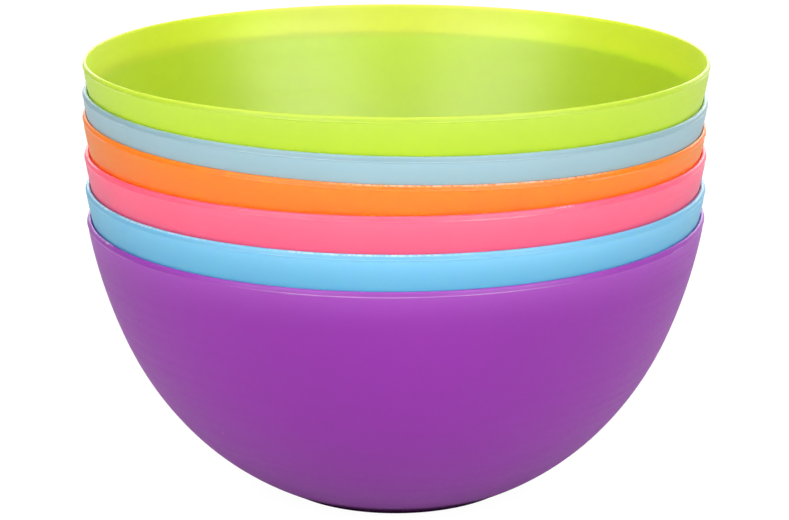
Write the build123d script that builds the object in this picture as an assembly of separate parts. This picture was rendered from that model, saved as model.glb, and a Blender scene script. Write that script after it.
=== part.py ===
from build123d import *
from math import asin, cos, degrees, radians, sin, tan
import os

# Nest of six round, thin-walled mixing bowls. Each one is a single moulded shell that lifts out.
# Origin: centre of the bottom bowl's foot, on the surface it stands on. +Z up, -Y to the front.
# Millimetres and degrees.

# One bowl
RIM_R = 76.0            # widest radius, at the parting edge under the rounded rim
HEIGHT = 69.6           # foot to the top of the rim
WALL = 0.8
RIM_DROP = 1.2          # from the top of the rim down to the parting edge
RIM_LAND = 0.2          # how far the inner edge sits below the top of the rim
RIM_CREST = 0.25        # how far the top of the rim stands out from the inner edge

DRAFT = 8.5             # lean of the wall from vertical at the rim
WALL_ARCS = [(122.0, 22.7), (80.3, 40.0)]   # outer radius, lean at the lower end
LOWER_ARC_R = 70.6      # outer radius of the last arc, down to the foot

FOOT_R = 31.6
FOOT_WIDTH = 1.4
FOOT_HEIGHT = 1.5
FLOOR = 1.2
FLOOR_BLEND_R = 14.0    # inside, between wall and floor

# How each bowl sits in the nest: rise above the bottom bowl, lean about X and Y, shift in X and Y.
# The walls are thin and close to upright at the rim, so a dropped-in bowl wedges slightly askew.
NEST = {
    "bowl_purple": (0.0, 0.0, 0.0, 0.0, 0.0),
    "bowl_blue": (7.6, -0.6, 0.3, 0.0, -0.3),
    "bowl_pink": (15.8, -0.8, 0.3, 0.0, 0.0),
    "bowl_orange": (23.7, 0.0, 1.6, -0.1, 0.5),
    "bowl_pale": (29.9, 0.0, 1.3, 0.1, 0.5),
    "bowl_lime": (37.9, -0.4, 0.4, 0.4, 0.7),
}


def heading(lean):
    """Direction down the wall where it leans inwards by this angle from vertical."""
    return (-sin(radians(lean)), -cos(radians(lean)))


def wall_arcs(inset, low_z, blend_r):
    """The wall's tangent arcs, this far inside the outer face, down to the height low_z.

    With a blend radius, the last arc stops early and a blend brings the wall level at low_z.
    """
    lean = DRAFT
    point = Vector(RIM_R - inset * cos(radians(lean)), HEIGHT - RIM_DROP + inset * sin(radians(lean)))
    arcs = []
    for radius, low_lean in WALL_ARCS:
        arcs.append(JernArc(point, heading(lean), radius - inset, lean - low_lean))
        point, lean = arcs[-1] @ 1, low_lean
    radius = LOWER_ARC_R - inset
    low_sine = (radius * sin(radians(lean)) + point.Y - low_z - blend_r) / (radius - blend_r)
    low_lean = degrees(asin(low_sine))
    arcs.append(JernArc(point, heading(lean), radius, lean - low_lean))
    if blend_r:
        arcs.append(JernArc(arcs[-1] @ 1, heading(low_lean), blend_r, low_lean - 90))
    return arcs


def bowl():
    """One bowl, standing on its foot at the origin."""
    outer = wall_arcs(0, FOOT_HEIGHT, 0)
    inner = wall_arcs(WALL, FOOT_HEIGHT + FLOOR, FLOOR_BLEND_R)

    edge, top = outer[0] @ 0, inner[0] @ 0
    land_z = HEIGHT - RIM_LAND
    land = Vector(top.X + (land_z - top.Y) * tan(radians(DRAFT)), land_z)
    crest = Vector(land.X + RIM_CREST, HEIGHT)
    rim = [
        Line(top, land),
        Line(land, crest),
        TangentArc(edge, crest, tangent=(0, 1)),
    ]
    foot_in = FOOT_R - FOOT_WIDTH
    foot = Polyline(
        outer[-1] @ 1, (FOOT_R, FOOT_HEIGHT), (FOOT_R, 0), (foot_in, 0), (foot_in, FOOT_HEIGHT),
        (0, FOOT_HEIGHT), (0, FOOT_HEIGHT + FLOOR), inner[-1] @ 1,
    )
    profile = make_face(outer + inner + rim + [foot])
    return revolve(Plane.XZ * profile, Axis.Z)


os.makedirs("parts", exist_ok=True)
shell = bowl()
for node, (rise, lean_x, lean_y, shift_x, shift_y) in NEST.items():
    # A bowl leans about the centre of its rim, which is where the nest holds it.
    seat = Pos(shift_x, shift_y, rise + HEIGHT) * Rot(lean_x, lean_y, 0) * Pos(0, 0, -HEIGHT)
    placed = seat * shell
    placed.label = node
    export_step(placed, f"parts/{node}.step")
    print(node, f"{placed.volume:.0f} mm3", placed.bounding_box().min, placed.bounding_box().max)
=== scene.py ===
from math import asin, cos, exp, pi, radians, sin, sqrt
from typing import NamedTuple

import bpy
from mathutils import Matrix, Vector


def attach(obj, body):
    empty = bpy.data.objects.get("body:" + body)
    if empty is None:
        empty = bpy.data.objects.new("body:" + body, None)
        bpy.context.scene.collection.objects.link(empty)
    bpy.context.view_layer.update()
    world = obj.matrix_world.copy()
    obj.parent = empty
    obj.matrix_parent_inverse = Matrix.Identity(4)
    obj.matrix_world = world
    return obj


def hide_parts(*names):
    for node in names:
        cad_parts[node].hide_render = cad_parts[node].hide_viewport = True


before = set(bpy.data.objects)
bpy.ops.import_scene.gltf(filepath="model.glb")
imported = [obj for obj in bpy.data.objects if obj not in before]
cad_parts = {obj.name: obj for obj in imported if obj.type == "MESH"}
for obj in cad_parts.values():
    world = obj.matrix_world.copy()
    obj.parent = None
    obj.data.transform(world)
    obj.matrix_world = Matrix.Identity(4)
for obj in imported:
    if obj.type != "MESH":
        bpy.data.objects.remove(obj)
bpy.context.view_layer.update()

# Nest of six round mixing bowls. Each CAD node is replaced by a shell on the same lines, with a
# finer rim and a translucent plastic. The seats and the bowl's sizes are those of the CAD.
# Millimetres and degrees in the tables, metres in the meshes and nodes. +Z up, -Y to the front.
MM = 0.001

# ---------------------------------------------------------------- one bowl
RIM_R = 76.0            # widest radius, at the parting edge under the rounded rim
HEIGHT = 69.6           # foot to the top of the rim
WALL = 0.8
RIM_DROP = 1.2          # from the top of the rim down to the parting edge
PARTING_Z = HEIGHT - RIM_DROP

DRAFT = 8.5             # lean of the wall from vertical at the rim
WALL_ARCS = [(122.0, 22.7), (80.3, 40.0)]   # outer radius, lean at the lower end
LOWER_ARC_R = 70.6      # outer radius of the last arc, down to the foot

FOOT_R = 31.6
FOOT_WIDTH = 1.4
FOOT_HEIGHT = 1.5
FLOOR = 1.2
FLOOR_BLEND_R = 14.0    # inside, between wall and floor

# Outside of the rim, upwards: x from RIM_R, z from the parting edge.
RIM_OUTSIDE = [
    (-0.16, -0.60), (-0.11, -0.26), (-0.09, -0.14),
    (-0.01, -0.08), (0.03, 0.0), (-0.01, 0.08),     # parting bead
    (-0.06, 0.14), (-0.09, 0.35), (-0.14, 0.60), (-0.20, 0.82), (-0.28, 1.00),
]
# Over the crest and down inside: x from RIM_R, share of the lip taken off it, z from the top.
RIM_INSIDE = [
    (-0.38, 0.0, -0.08), (-0.49, 0.0, 0.0), (-0.61, 0.6, -0.04),
    (-0.70, 0.9, -0.16), (-0.74, 1.0, -0.40), (-0.82, 1.0, -0.95),
]
INSIDE_DROP = 1.5       # from the top of the rim down to where the inner wall's line starts
LIP_FADE = 5.0          # from there down to where the lip has gone

SEGMENTS = 288          # round the bowl
OUTSIDE_STEPS, INSIDE_STEPS, BLEND_STEPS = 14, 28, 8    # points along each arc


# ---------------------------------------------------------------- the six bowls
class Seat(NamedTuple):
    """Place in the nest: the bowl leans about the centre of its rim."""

    rise: float
    lean_x: float
    lean_y: float
    shift_x: float
    shift_y: float


class Lip(NamedTuple):
    """How much thicker the wall grows inwards under the rim, by the room the next bowl leaves."""

    mean: float
    swing: float = 0.0
    toward: float = 0.0     # direction with most room, round from +X towards +Y


class Bowl(NamedTuple):
    """One bowl's seat, lip and plastic. Colours are linear; painted shades are shares of the
    colour.
    """

    seat: Seat
    lip: Lip
    colour: tuple
    free_path: tuple        # of red, green and blue light inside the plastic
    whiter: float           # painted light added to the colour near the rim
    lighter: float          # share of the colour added near the rim as painted light
    painted_rim_shade: float        # painted shade on the rounded rim
    parting_flash_and_highlight: list     # runs of flash and painted highlight, round from the front towards +X
    crest_flash_and_highlight: list
    rim_path: float = 1.0   # times the free path, inside the rounded rim
    # painted shade on the foot and the underside
    painted_foot_shade: float = 0.8
    # painted shade at the front of the wall
    painted_front_shade: float = 1.0
    # Painted light and shade: multipliers of the colour at the back, near the rim, where light
    # comes through
    # this wall alone: each with where it starts and is full, in shares of RIM_R towards the back.
    painted_back_light: tuple = ()


BOWLS = {
    "purple": Bowl(
        Seat(0.0, 0.0, 0.0, 0.0, 0.0), Lip(0.35, 0.20, 97),
        colour=(0.25, 0.006, 0.33), free_path=(0.2, 0.2, 0.2), rim_path=3.5,
        whiter=0.036, lighter=0.12, painted_rim_shade=0.84, painted_foot_shade=0.11,
        parting_flash_and_highlight=[(-78, -52), (-24, 30), (57, 62)], crest_flash_and_highlight=[(-76, -60)],
    ),
    "blue": Bowl(
        Seat(7.6, -0.6, 0.3, 0.0, -0.3), Lip(0.47, 0.22, 285),
        colour=(0.090, 0.370, 0.560), free_path=(0.2, 0.2, 0.2), rim_path=3.5,
        whiter=0.085, lighter=0.13, painted_rim_shade=0.79,
        parting_flash_and_highlight=[(-75, -60)], crest_flash_and_highlight=[(-78, -28), (-22, 12)],
    ),
    "pink": Bowl(
        Seat(15.8, -0.8, 0.3, 0.0, 0.0), Lip(0.40, 0.26, 262),
        colour=(0.91, 0.095, 0.195), free_path=(0.15, 0.15, 0.15),
        whiter=0.03, lighter=0.08, painted_rim_shade=0.78,
        parting_flash_and_highlight=[(-80, -62), (8, 24)], crest_flash_and_highlight=[(27, 31), (-76, -66)],
    ),
    "orange": Bowl(
        Seat(23.7, 0.0, 1.6, -0.1, 0.5), Lip(0.08),
        colour=(0.94, 0.18, 0.001), free_path=(0.15, 0.15, 0.15),
        whiter=0.0, lighter=0.20, painted_rim_shade=0.86,
        parting_flash_and_highlight=[(-80, -58), (34, 50)], crest_flash_and_highlight=[(-12, 40)],
    ),
    "pale": Bowl(
        Seat(29.9, 0.0, 1.3, 0.1, 0.5), Lip(0.43, 0.23, 270),
        colour=(0.27, 0.42, 0.475), free_path=(0.5, 0.5, 0.5), rim_path=1.4,
        whiter=0.02, lighter=0.10, painted_rim_shade=0.74,
        parting_flash_and_highlight=[(-70, -50), (150, 200)], crest_flash_and_highlight=[(196, 210)],
    ),
    "lime": Bowl(
        Seat(37.9, -0.4, 0.4, 0.4, 0.7), Lip(0.08),
        colour=(0.408, 0.565, 0.010), free_path=(1.9, 1.2, 1.5),
        whiter=0.03, lighter=-0.05, painted_rim_shade=0.84, painted_front_shade=0.90,
        painted_back_light=(((1.13, 0.99, 1.5), -0.25, 0.15), ((0.92, 0.85, 1.15), 0.84, 0.95)),
        parting_flash_and_highlight=[(-76, -50)], crest_flash_and_highlight=[(-78, -64), (196, 210)],
    ),
}


# ---------------------------------------------------------------- shape
def arc_points(start, radius, lean, low_lean, steps):
    """Points down a tangent arc whose lean from vertical grows from lean to low_lean, radians."""
    x, z = start
    points = []
    for step in range(1, steps + 1):
        angle = lean + (low_lean - lean) * step / steps
        points.append((x - radius * (cos(lean) - cos(angle)),
                       z - radius * (sin(angle) - sin(lean))))
    return points


def wall_points(inset, low_z, blend_r, steps):
    """The wall's line, this far inside the outer face, from the parting edge down to low_z.

    With a blend radius, the last arc stops early and a blend brings the wall level at low_z.
    """
    lean = radians(DRAFT)
    points = [(RIM_R - inset * cos(lean), PARTING_Z + inset * sin(lean))]
    for radius, low_degrees in WALL_ARCS:
        low_lean = radians(low_degrees)
        points += arc_points(points[-1], radius - inset, lean, low_lean, steps)
        lean = low_lean
    radius = LOWER_ARC_R - inset
    low_lean = asin((radius * sin(lean) + points[-1][1] - low_z - blend_r) / (radius - blend_r))
    points += arc_points(points[-1], radius, lean, low_lean, steps)
    if blend_r:
        points += arc_points(points[-1], blend_r, low_lean, pi / 2, BLEND_STEPS)
    return points


def underside_points(wall_x):
    """From the axis out to the bottom of the wall at wall_x, with every corner eased."""
    base, foot_in = FOOT_HEIGHT, FOOT_R - FOOT_WIDTH
    gate_mark = [(0.0, base - 0.35), (0.9, base - 0.35), (1.25, base - 0.3), (1.4, base - 0.1)]
    flat = [(x, base) for x in (1.8, 4.0, 12.0, 21.0, foot_in - 0.6)]
    foot_inside = [
        (foot_in - 0.15, base - 0.12), (foot_in, base - 0.45), (foot_in, 0.25),
        (foot_in + 0.25, 0.0),
    ]
    foot_outside = [
        (FOOT_R - 0.3, 0.0), (FOOT_R - 0.08, 0.09), (FOOT_R, 0.3), (FOOT_R, base - 0.35),
        (FOOT_R + 0.12, base - 0.1), (FOOT_R + 0.45, base),
    ]
    wall_corner = [(wall_x - 0.5, base), (wall_x - 0.12, base + 0.05)]
    return gate_mark + flat + foot_inside + foot_outside + wall_corner


def bowl_outline(lip):
    """Outline of the shell, from the underside's centre round over the rim to the inside's."""
    wall = wall_points(0.0, FOOT_HEIGHT, 0.0, OUTSIDE_STEPS)
    outside = underside_points(wall[-1][0])
    # The corner and the rim have points of their own, so the wall's stop short of them.
    lowest, highest = FOOT_HEIGHT + 0.2, PARTING_Z - 0.6
    outside += [(x, z) for x, z in reversed(wall) if lowest < z < highest]

    rim = [(RIM_R + x, PARTING_Z + z) for x, z in RIM_OUTSIDE]
    rim += [(RIM_R + x - share * lip, HEIGHT + z) for x, share, z in RIM_INSIDE]

    floor_z, start_z = FOOT_HEIGHT + FLOOR, HEIGHT - INSIDE_DROP
    inside = [
        (x - lip * max(0.0, 1.0 - (start_z - z) / LIP_FADE) ** 2, z)
        for x, z in wall_points(WALL, floor_z, FLOOR_BLEND_R, INSIDE_STEPS) if z < start_z
    ]
    inside += [(x, floor_z) for x in (20.0, 10.0, 4.0, 0.0)]
    return outside + rim + inside


def bowl_mesh(name, lip):
    """Mesh of the outline turned about Z, with a lip that varies round the rim."""
    turns = [2 * pi * s / SEGMENTS for s in range(SEGMENTS)]
    outlines = [bowl_outline(lip.mean + lip.swing * cos(a - radians(lip.toward))) for a in turns]
    rows = len(outlines[0]) - 2     # the first and last points are on the axis
    verts, faces = [], []
    for row in range(1, rows + 1):
        for angle, outline in zip(turns, outlines):
            x, z = outline[row]
            verts.append((x * MM * cos(angle), x * MM * sin(angle), z * MM))
    below, above = len(verts), len(verts) + 1
    verts += [(0, 0, outlines[0][0][1] * MM), (0, 0, outlines[0][-1][1] * MM)]

    following = [(s + 1) % SEGMENTS for s in range(SEGMENTS)]
    for row in range(rows - 1):
        a, b = row * SEGMENTS, (row + 1) * SEGMENTS
        faces += [(a + s, a + t, b + t, b + s) for s, t in enumerate(following)]
    last = (rows - 1) * SEGMENTS
    for s, t in enumerate(following):
        faces += [(below, t, s), (above, last + s, last + t)]

    mesh = bpy.data.meshes.new(name)
    mesh.from_pydata(verts, [], faces)
    for polygon in mesh.polygons:
        polygon.use_smooth = True
    mesh.validate()
    return mesh


# ---------------------------------------------------------------- materials
# Noise scales are per metre.
PIGMENT_SCALE, PIGMENT_SPREAD = 28.0, 0.06          # the spread is a share of the colour
GRAIN_SCALE, GRAIN_ROUGHNESS = 900.0, (0.37, 0.43)
TURNING_STRETCH = (6.0, 6.0, 900.0)                 # long round the bowl, fine up the wall
TEETH_SCALE, RAGGED_SCALE, DUST_SCALE = 1400.0, 110.0, 75.0
# The pale flash is partly real mould flash and partly painted highlight.
FLASH_AND_HIGHLIGHT_COLOUR, FLASH_AND_HIGHLIGHT_AMOUNT = (0.95, 0.92, 0.96), 0.5
BEAD_AMOUNT = 0.38                                  # of the crest's flash and painted highlight
DUST_COLOUR, DUST_AMOUNT = (0.8, 0.8, 0.8), 0.25
GLOSS, RIM_GLOSS = 0.75, 0.45                       # specular level
BUMP_STRENGTH, BUMP_DISTANCE = 0.15, 0.04           # the distance is in mm
PLASTIC_IOR = 1.49

LIGHTER_DROP = 11.0, 1.5            # down from the top of the rim; the painted light on the wall fades in between
SINGLE_LAYER_DROP = 9.0, 7.0        # the same for the painted back light, about where the rim behind comes up to
FOOT_FADE = 3.2, 4.8                # up from the bottom of the foot; its painted shade fades out between
GLOW_SIDE = 0.25, -0.97             # direction of the side where the painted light near the rim is strongest


class Nodes:
    """Short calls for building the nodes of one material or world."""

    def __init__(self, owner):
        owner.use_nodes = True
        self.tree = owner.node_tree
        self.tree.nodes.clear()

    def feed(self, socket, value):
        if isinstance(value, bpy.types.NodeSocket):
            self.tree.links.new(value, socket)
        else:
            socket.default_value = value

    def add(self, kind, inputs=None, **settings):
        node = self.tree.nodes.new(kind)
        for key, value in settings.items():
            setattr(node, key, value)
        for key, value in (inputs or {}).items():
            self.feed(node.inputs[key], value)
        return node

    def mix(self, factor, a, b, blend="MIX"):
        """Colour output of a and b mixed; each is a linear colour or a socket."""
        node = self.add("ShaderNodeMix", {0: factor}, data_type="RGBA", blend_type=blend)
        for socket, value in zip([s for s in node.inputs if s.type == "RGBA"], (a, b)):
            is_socket = isinstance(value, bpy.types.NodeSocket)
            self.feed(socket, value if is_socket else (*value, 1.0))
        return next(s for s in node.outputs if s.type == "RGBA")

    def shade(self, factor, tint, shade):
        """The tint, multiplied by the shade where the factor is 1."""
        return self.mix(factor, tint, self.mix(1.0, tint, shade, "MULTIPLY"))

    def ramp(self, value, low, high, to_low=0.0, to_high=1.0):
        """The value mapped from low..high onto to_low..to_high, and held there beyond."""
        return self.add("ShaderNodeMapRange", {
            "Value": value, "From Min": low, "From Max": high,
            "To Min": to_low, "To Max": to_high,
        }).outputs["Result"]

    def ramp_mm(self, value, low, high, to_low=0.0, to_high=1.0):
        return self.ramp(value, low * MM, high * MM, to_low, to_high)

    def math(self, operation, a, b=0.0):
        return self.add("ShaderNodeMath", {0: a, 1: b}, operation=operation).outputs[0]

    def times(self, a, b):
        return self.math("MULTIPLY", a, b)

    def noise(self, vector, scale, detail=2.0):
        inputs = {"Vector": vector, "Scale": scale, "Detail": detail}
        return self.add("ShaderNodeTexNoise", inputs).outputs["Fac"]


def scatter_radius(albedo, free_path):
    """Subsurface radius for this free path, whatever share of light the pigment sends back."""
    return free_path / sqrt(3 * exp(-5.09406 * albedo + 2.61188 * albedo ** 2
                                    - 4.31805 * albedo ** 3))


def runs(n, azimuth, spans):
    """Mask that is 1 inside the spans, given in degrees, and fades out at their ends."""
    total = 0.0
    for low, high in spans:
        middle, half = radians((low + high) / 2), radians((high - low) / 2)
        from_middle = n.math("SUBTRACT", azimuth, middle)
        wrapped = n.add("ShaderNodeMath", {0: from_middle, 1: pi, 2: -pi}, operation="WRAP")
        inside = n.ramp(n.math("ABSOLUTE", wrapped.outputs[0]), half * 0.6, half * 1.1, 1.0, 0.0)
        total = n.math("MAXIMUM", inside, total)
    return total


def flash_and_highlights(n, place, azimuth, height, bowl):
    """Mask of the ragged runs of flash and painted highlight on the parting edge, and the toothed
    ones on the crest.
    """
    from_edge = n.math("ABSOLUTE", n.math("SUBTRACT", height, PARTING_Z * MM))
    bead = n.ramp_mm(from_edge, 0.06, 0.20, 1.0, 0.0)
    bead = n.times(bead, runs(n, azimuth, bowl.parting_flash_and_highlight))
    teeth = n.ramp(n.noise(place, TEETH_SCALE, 0.0), 0.35, 0.62, 0.1, 0.68)
    crest = n.times(n.ramp_mm(height, HEIGHT - 0.42, HEIGHT - 0.22), teeth)
    crest = n.times(crest, runs(n, azimuth, bowl.crest_flash_and_highlight))
    ragged = n.ramp(n.noise(place, RAGGED_SCALE, 1.0), 0.30, 0.65, 0.4, 0.9)
    return n.times(n.math("MAXIMUM", n.times(bead, BEAD_AMOUNT), crest), ragged)


def dust(n, place):
    """Mask of a few small specks, in one cell of five."""
    cells = n.add("ShaderNodeTexVoronoi", {"Vector": place, "Scale": DUST_SCALE}).outputs
    draw = n.add("ShaderNodeSeparateColor", {"Color": cells["Color"]}).outputs[0]
    return n.times(n.ramp(cells["Distance"], 0.010, 0.020, 1.0, 0.0), n.ramp(draw, 0.80, 0.82))


def plastic(name, bowl):
    """Translucent satin polypropylene in one pigment, with light and shade painted into its
    colour near the rim, on the rim and at the foot.
    """
    material = bpy.data.materials.new(name)
    n = Nodes(material)
    coordinates = n.add("ShaderNodeTexCoord").outputs
    place = coordinates["Object"]
    across, along, height = n.add("ShaderNodeSeparateXYZ", {"Vector": place}).outputs
    facing_up = n.add("ShaderNodeSeparateXYZ", {"Vector": coordinates["Normal"]}).outputs["Z"]
    azimuth = n.math("ARCTAN2", across, n.times(along, -1.0))
    level = n.add("ShaderNodeVectorMath", {0: place, 1: (1.0, 1.0, 0.0)}, operation="MULTIPLY")
    from_axis = n.add("ShaderNodeVectorMath", {0: level.outputs["Vector"]}, operation="LENGTH")
    # 1 on the outer side of the rim, 0 on its inner side and on the wall below.
    outer_side = n.ramp_mm(from_axis.outputs["Value"], RIM_R - 0.70, RIM_R - 0.55)

    # Pigment, unevenly mixed.
    cloud = n.noise(place, PIGMENT_SCALE, 3.0)
    tint = n.mix(cloud, [c * (1 - PIGMENT_SPREAD) for c in bowl.colour],
                 [c * (1 + PIGMENT_SPREAD) for c in bowl.colour])
    # Painted shade: the front of the wall is darker.
    if bowl.painted_front_shade < 1.0:
        at_front = n.ramp_mm(along, -0.6 * RIM_R, -1.0 * RIM_R)
        tint = n.shade(at_front, tint, [bowl.painted_front_shade] * 3)
    # Painted light and shade at the back near the rim, standing in for light through this wall
    # alone.
    if bowl.painted_back_light:
        single_layer = n.ramp_mm(height, *(HEIGHT - drop for drop in SINGLE_LAYER_DROP))
        for painted_back_tint, start, end in bowl.painted_back_light:
            at_back = n.ramp_mm(along, start * RIM_R, end * RIM_R)
            tint = n.shade(n.times(single_layer, at_back), tint, painted_back_tint)

    # Painted light: the colour is made lighter and whiter near the rim, most on one side,
    # standing in for light that the rim lets in.
    near_rim = n.ramp_mm(height, *(HEIGHT - drop for drop in LIGHTER_DROP))
    near_rim = n.math("POWER", near_rim, 2.0)
    glow_side = (*(c / (RIM_R * MM) for c in GLOW_SIDE), 0.0)
    toward_glow_side = n.add("ShaderNodeVectorMath", {0: place, 1: glow_side}, operation="DOT_PRODUCT")
    near_rim = n.times(near_rim, n.ramp(toward_glow_side.outputs["Value"], -1.0, 1.0, 0.2, 1.05))
    tint = n.mix(near_rim, tint, [1.0 + bowl.lighter] * 3, "MULTIPLY")
    tint = n.mix(near_rim, tint, [bowl.whiter] * 3, "ADD")

    # Painted shade: the rounded rim above the parting edge is darker.
    rim = n.times(n.ramp_mm(height, PARTING_Z - 0.05, PARTING_Z + 0.15), outer_side)
    tint = n.shade(rim, tint, [bowl.painted_rim_shade] * 3)

    # Flash and dust are pale; the flash runs also carry painted highlights on the parting bead
    # and the crest.
    flash_and_highlight_mask = n.times(flash_and_highlights(n, place, azimuth, height, bowl), outer_side)
    tint = n.mix(n.times(flash_and_highlight_mask, FLASH_AND_HIGHLIGHT_AMOUNT), tint, FLASH_AND_HIGHLIGHT_COLOUR)
    tint = n.mix(n.times(dust(n, place), DUST_AMOUNT), tint, DUST_COLOUR)

    # Painted shade: the underside and the foot are darker, where the bowl meets the floor. The
    # inside floor, which faces up, isn't.
    above_foot = n.ramp_mm(height, *FOOT_FADE, bowl.painted_foot_shade, 1.0)
    light = n.math("MAXIMUM", above_foot, n.ramp(facing_up, 0.1, 0.3))
    grey = n.add("ShaderNodeCombineColor", {0: light, 1: light, 2: light}).outputs[0]
    tint = n.mix(1.0, tint, grey, "MULTIPLY")

    # Satin grain, with faint turning marks left by the mould.
    grain = n.noise(place, GRAIN_SCALE)
    stretched = n.add("ShaderNodeVectorMath", {0: place, 1: TURNING_STRETCH},
                      operation="MULTIPLY").outputs["Vector"]
    turning_marks = n.ramp(n.noise(stretched, 1.0), 0.45, 0.75, 0.0, 0.05)
    rough = n.math("ADD", n.ramp(grain, 0.3, 0.7, *GRAIN_ROUGHNESS), turning_marks)
    bump = n.add("ShaderNodeBump", {
        "Height": n.math("ADD", grain, n.times(flash_and_highlight_mask, 2.0)),
        "Strength": BUMP_STRENGTH, "Distance": BUMP_DISTANCE * MM,
    })
    gloss = n.times(n.math("POWER", light, 2.0), n.ramp(rim, 0.0, 1.0, GLOSS, RIM_GLOSS))

    path_scale = n.ramp(rim, 0.0, 1.0, 1.0, bowl.rim_path) if bowl.rim_path > 1.0 else 1.0
    shader = n.add("ShaderNodeBsdfPrincipled", {
        "Base Color": tint,
        "Roughness": rough,
        "Normal": bump.outputs["Normal"],
        "IOR": PLASTIC_IOR,
        "Specular IOR Level": gloss,
        "Subsurface Weight": 1.0,
        "Subsurface Radius": [
            scatter_radius(c, path * MM) for c, path in zip(bowl.colour, bowl.free_path)
        ],
        "Subsurface Scale": path_scale,
    }, subsurface_method="RANDOM_WALK")
    n.add("ShaderNodeOutputMaterial", {"Surface": shader.outputs["BSDF"]})
    return material


def add_object(name, data):
    thing = bpy.data.objects.new(name, data)
    bpy.context.scene.collection.objects.link(thing)
    return thing


for colour_name, bowl in BOWLS.items():
    node, slot = f"bowl_{colour_name}", f"plastic_{colour_name}"
    shell = add_object(f"{node}_shell", bowl_mesh(f"{node}_shell", bowl.lip))
    seat = bowl.seat
    lean = (Matrix.Rotation(radians(seat.lean_x), 4, "X")
            @ Matrix.Rotation(radians(seat.lean_y), 4, "Y"))
    rim_centre = Vector((seat.shift_x, seat.shift_y, seat.rise + HEIGHT)) * MM
    shell.matrix_world = (Matrix.Translation(rim_centre) @ lean
                          @ Matrix.Translation(Vector((0, 0, -HEIGHT)) * MM))
    shell.data.materials.append(plastic(slot, bowl))
    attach(shell, node)
    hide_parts(node)

# ---------------------------------------------------------------- floor
FLOOR_HALF = 4.0            # metres
PAPER = (0.48, 0.48, 0.48, 1.0)
SURROUND_GLOW = 1.22        # brightness that the camera sees
SURROUND_SHARE = 0.78       # how much of that replaces the paper's own look, for the camera only

floor_mesh = bpy.data.meshes.new("studio_floor")
corners = [(-1, -1), (1, -1), (1, 1), (-1, 1)]
floor_mesh.from_pydata([(x * FLOOR_HALF, y * FLOOR_HALF, 0) for x, y in corners], [],
                       [(0, 1, 2, 3)])
floor = add_object("studio_floor", floor_mesh)
floor_material = bpy.data.materials.new("studio_floor")
n = Nodes(floor_material)
paper = n.add("ShaderNodeBsdfDiffuse", {"Color": PAPER})
glow = n.add("ShaderNodeEmission", {"Color": (1.0, 1.0, 1.0, 1.0), "Strength": SURROUND_GLOW})
seen = n.times(n.add("ShaderNodeLightPath").outputs["Is Camera Ray"], SURROUND_SHARE)
surround = n.add("ShaderNodeMixShader", {0: seen, 1: paper.outputs[0], 2: glow.outputs[0]})
n.add("ShaderNodeOutputMaterial", {"Surface": surround.outputs[0]})
floor_mesh.materials.append(floor_material)

# ---------------------------------------------------------------- light
WORLD_LOW, WORLD_HIGH = 0.3, 0.55       # strength at the horizon and overhead
AIM = Vector((0, 0, 0.06))              # metres

# Degrees round from the front towards +X and degrees up; distance, width and height in metres;
# radiance.
SOFTBOXES = {
    "softbox_left": (-42, 24, 3.0, 2.4, 2.2, 3.8),
    "softbox_right": (42, 24, 3.0, 2.5, 2.2, 4.1),
    "front_light": (0, 4, 3.0, 3.0, 0.9, 1.8),
    "top_light": (0, 58, 3.0, 3.0, 2.0, 2.0),
    "backdrop_light": (172, 14, 2.5, 4.0, 1.8, 3.6),
}

world = bpy.data.worlds.new("studio")
bpy.context.scene.world = world
n = Nodes(world)
direction = n.add("ShaderNodeTexCoord").outputs["Generated"]
upwards = n.add("ShaderNodeSeparateXYZ", {"Vector": direction}).outputs["Z"]
strength = n.add("ShaderNodeMapRange", {
    "Value": upwards, "To Min": WORLD_LOW, "To Max": WORLD_HIGH,
}, interpolation_type="SMOOTHSTEP")
background = n.add("ShaderNodeBackground", {"Strength": strength.outputs["Result"]})
n.add("ShaderNodeOutputWorld", {"Surface": background.outputs[0]})

for name, (azimuth, elevation, distance, width, height, radiance) in SOFTBOXES.items():
    light = bpy.data.lights.new(name, "AREA")
    light.shape = "RECTANGLE"
    light.size, light.size_y = width, height
    light.energy = radiance * pi * width * height
    a, e = radians(azimuth), radians(elevation)
    back = Vector((sin(a) * cos(e), -cos(a) * cos(e), sin(e)))
    lamp = add_object(name, light)
    lamp.location = AIM + back * distance
    lamp.visible_camera = False
    lamp.rotation_mode = "QUATERNION"
    lamp.rotation_quaternion = back.to_track_quat("Z", "Y")

# ---------------------------------------------------------------- camera
# In front of the nest and above it, looking down a little.
CAMERA_BACK, CAMERA_HEIGHT = 0.5398, 0.2096     # metres
CAMERA_PITCH, CAMERA_ROLL = radians(15.96), radians(0.28)
LENS, SENSOR, SHIFT_X = 102.4, 36.0, -0.0018

camera_data = bpy.data.cameras.new("camera")
camera_data.sensor_width = SENSOR
camera_data.lens = LENS
camera_data.shift_x = SHIFT_X
camera_data.clip_start, camera_data.clip_end = 0.01, 20.0
camera = add_object("camera", camera_data)
forward = Vector((0, cos(CAMERA_PITCH), -sin(CAMERA_PITCH)))
right = Vector((1, 0, 0))
up = right.cross(forward)
rolled_right = right * cos(CAMERA_ROLL) - up * sin(CAMERA_ROLL)
rolled_up = up * cos(CAMERA_ROLL) + right * sin(CAMERA_ROLL)
turn = Matrix((rolled_right, rolled_up, -forward)).transposed().to_4x4()
camera.matrix_world = Matrix.Translation((0, -CAMERA_BACK, CAMERA_HEIGHT)) @ turn

scene = bpy.context.scene
scene.camera = camera
scene.view_settings.view_transform = "Standard"
# Enough bounces for light to cross several translucent walls.
scene.cycles.max_bounces = 24
scene.cycles.diffuse_bounces = 16
